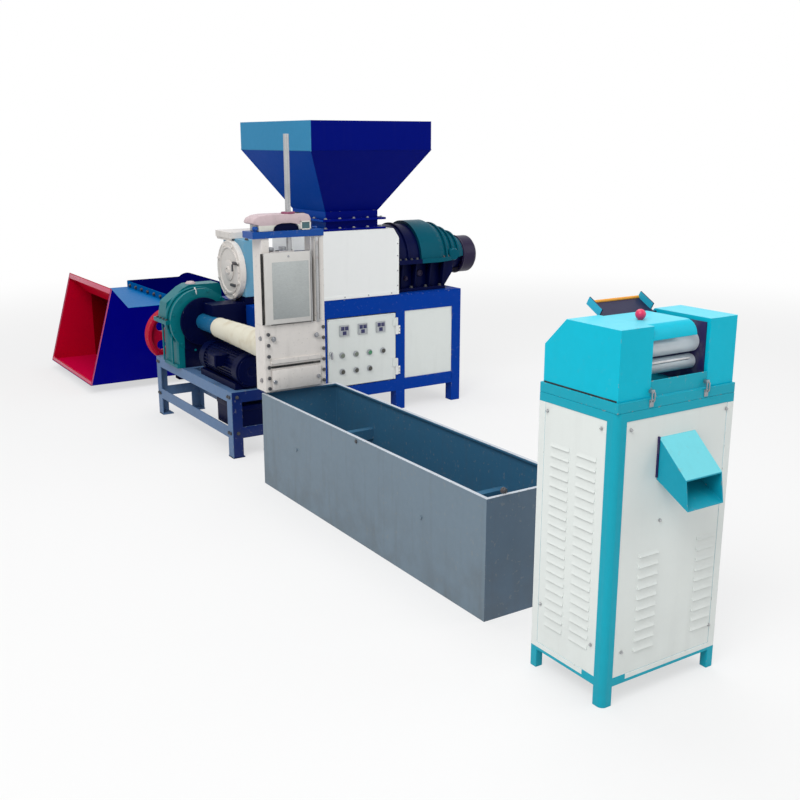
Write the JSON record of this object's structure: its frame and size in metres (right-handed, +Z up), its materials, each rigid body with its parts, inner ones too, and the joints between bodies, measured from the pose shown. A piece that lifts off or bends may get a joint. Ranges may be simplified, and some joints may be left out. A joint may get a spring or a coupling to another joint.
{
  "type": "plastic pelletizing line",
  "caption": "Plastic pelletizing line: hopper-fed main extruder, second extruder, screen changer, water tank, pellet cutter and feed crusher.",
  "frame": {"origin": "centre of the line's bounding box at floor level", "axes": "+X along the main extruder towards its gearbox, +Y from the pellet cutter along the water tank to the second extruder and the crusher, +Z up"},
  "size_m": [2.442, 6.383, 1.921],
  "materials": {
    "tank_sheet": "worn semi-gloss",
    "royal_blue_paint": "semi-gloss",
    "panel_white": "satin",
    "dark_plastic": "matte",
    "button_plastic": "glossy",
    "white_paint": "semi-gloss",
    "barrel_steel": "worn",
    "light_blue_paint": "semi-gloss",
    "cream_paint": "satin",
    "hopper_blue": "semi-gloss",
    "teal_paint": "gloss",
    "dark_navy_paint": "semi-gloss",
    "grey_green_paint": "satin",
    "red_paint": "semi-gloss",
    "sleeve_wrap": "wrapped glass tape",
    "ground_steel": "ground",
    "pink_cast": "satin",
    "turquoise_paint": "semi-gloss",
    "knob_plastic": "glossy",
    "crusher_navy": "semi-gloss"
  },
  "bodies": {
    "line": {"water_tank": "tank_sheet", "tank_guide_bars": "tank_sheet", "main_stand": "royal_blue_paint", "stand_top_plate": "royal_blue_paint", "front_right_panel": "panel_white", "stand_end_panels": "royal_blue_paint", "stand_back_panels": "panel_white", "door_hinges": "white_paint", "barrel_cover": "white_paint", "main_barrel": "barrel_steel", "barrel_supports": "royal_blue_paint", "head_housing": "light_blue_paint", "head_cover": "cream_paint", "head_top_plate": "cream_paint", "hopper": "hopper_blue", "hopper_neck": "hopper_blue", "main_gearbox": "teal_paint", "gearbox_cap": "dark_navy_paint", "second_stand": "grey_green_paint", "second_gearbox": "teal_paint", "bearing_housing": "dark_navy_paint", "second_motor": "dark_navy_paint", "stand_box": "dark_navy_paint", "second_barrel": "light_blue_paint", "barrel_sleeve": "sleeve_wrap", "feed_throat": "dark_navy_paint", "changer_block": "cream_paint", "changer_columns": "cream_paint", "changer_crossbar": "royal_blue_paint", "lift_housing": "pink_cast", "cutter_cabinet": "turquoise_paint", "cutter_panels": "panel_white", "cutter_base_plate": "turquoise_paint", "hood_left": "turquoise_paint", "hood_right": "turquoise_paint", "hood_cover": "turquoise_paint", "lid_knob": "knob_plastic", "discharge_chute": "turquoise_paint", "crusher_mouth": "crusher_navy", "crusher_liner": "red_paint", "crusher_body": "crusher_navy"},
    "door": {"control_door": "panel_white", "temperature_controllers": "dark_plastic", "push_buttons": "button_plastic"},
    "pulley": {"red_pulley": "red_paint"},
    "slide": {"slide_plate": "ground_steel", "lift_screw": "ground_steel"},
    "upper_roller": {"upper_feed_roller": "ground_steel"},
    "lower_roller": {"lower_feed_roller": "ground_steel"},
    "lid": {"feed_lid": "dark_plastic"}
  },
  "joints": [
    {"name": "control_door_hinge", "type": "hinge", "parent": "line", "child": "door", "pos_m": [0.422, 0.5155, 0.4475], "axis": [0, 0, 1], "range_deg": [0, 110]},
    {"name": "red_pulley_spin", "type": "hinge", "parent": "line", "child": "pulley", "pos_m": [-0.841, 1.3735, 0.524], "axis": [0, 1, 0], "continuous": true},
    {"name": "slide_plate_lift", "type": "slide", "parent": "line", "child": "slide", "axis": [0, 0, 1], "range_m": [0, 0.06]},
    {"name": "upper_roller_spin", "type": "hinge", "parent": "line", "child": "upper_roller", "pos_m": [-0.7985, -2.9805, 1.177], "axis": [1, 0, 0], "continuous": true},
    {"name": "lower_roller_spin", "type": "hinge", "parent": "line", "child": "lower_roller", "pos_m": [-0.7985, -2.9805, 1.111], "axis": [1, 0, 0], "continuous": true},
    {"name": "feed_lid_hinge", "type": "hinge", "parent": "line", "child": "lid", "pos_m": [-0.7985, -2.8125, 1.247], "axis": [-1, 0, 0], "range_deg": [0, 66]}
  ]
}
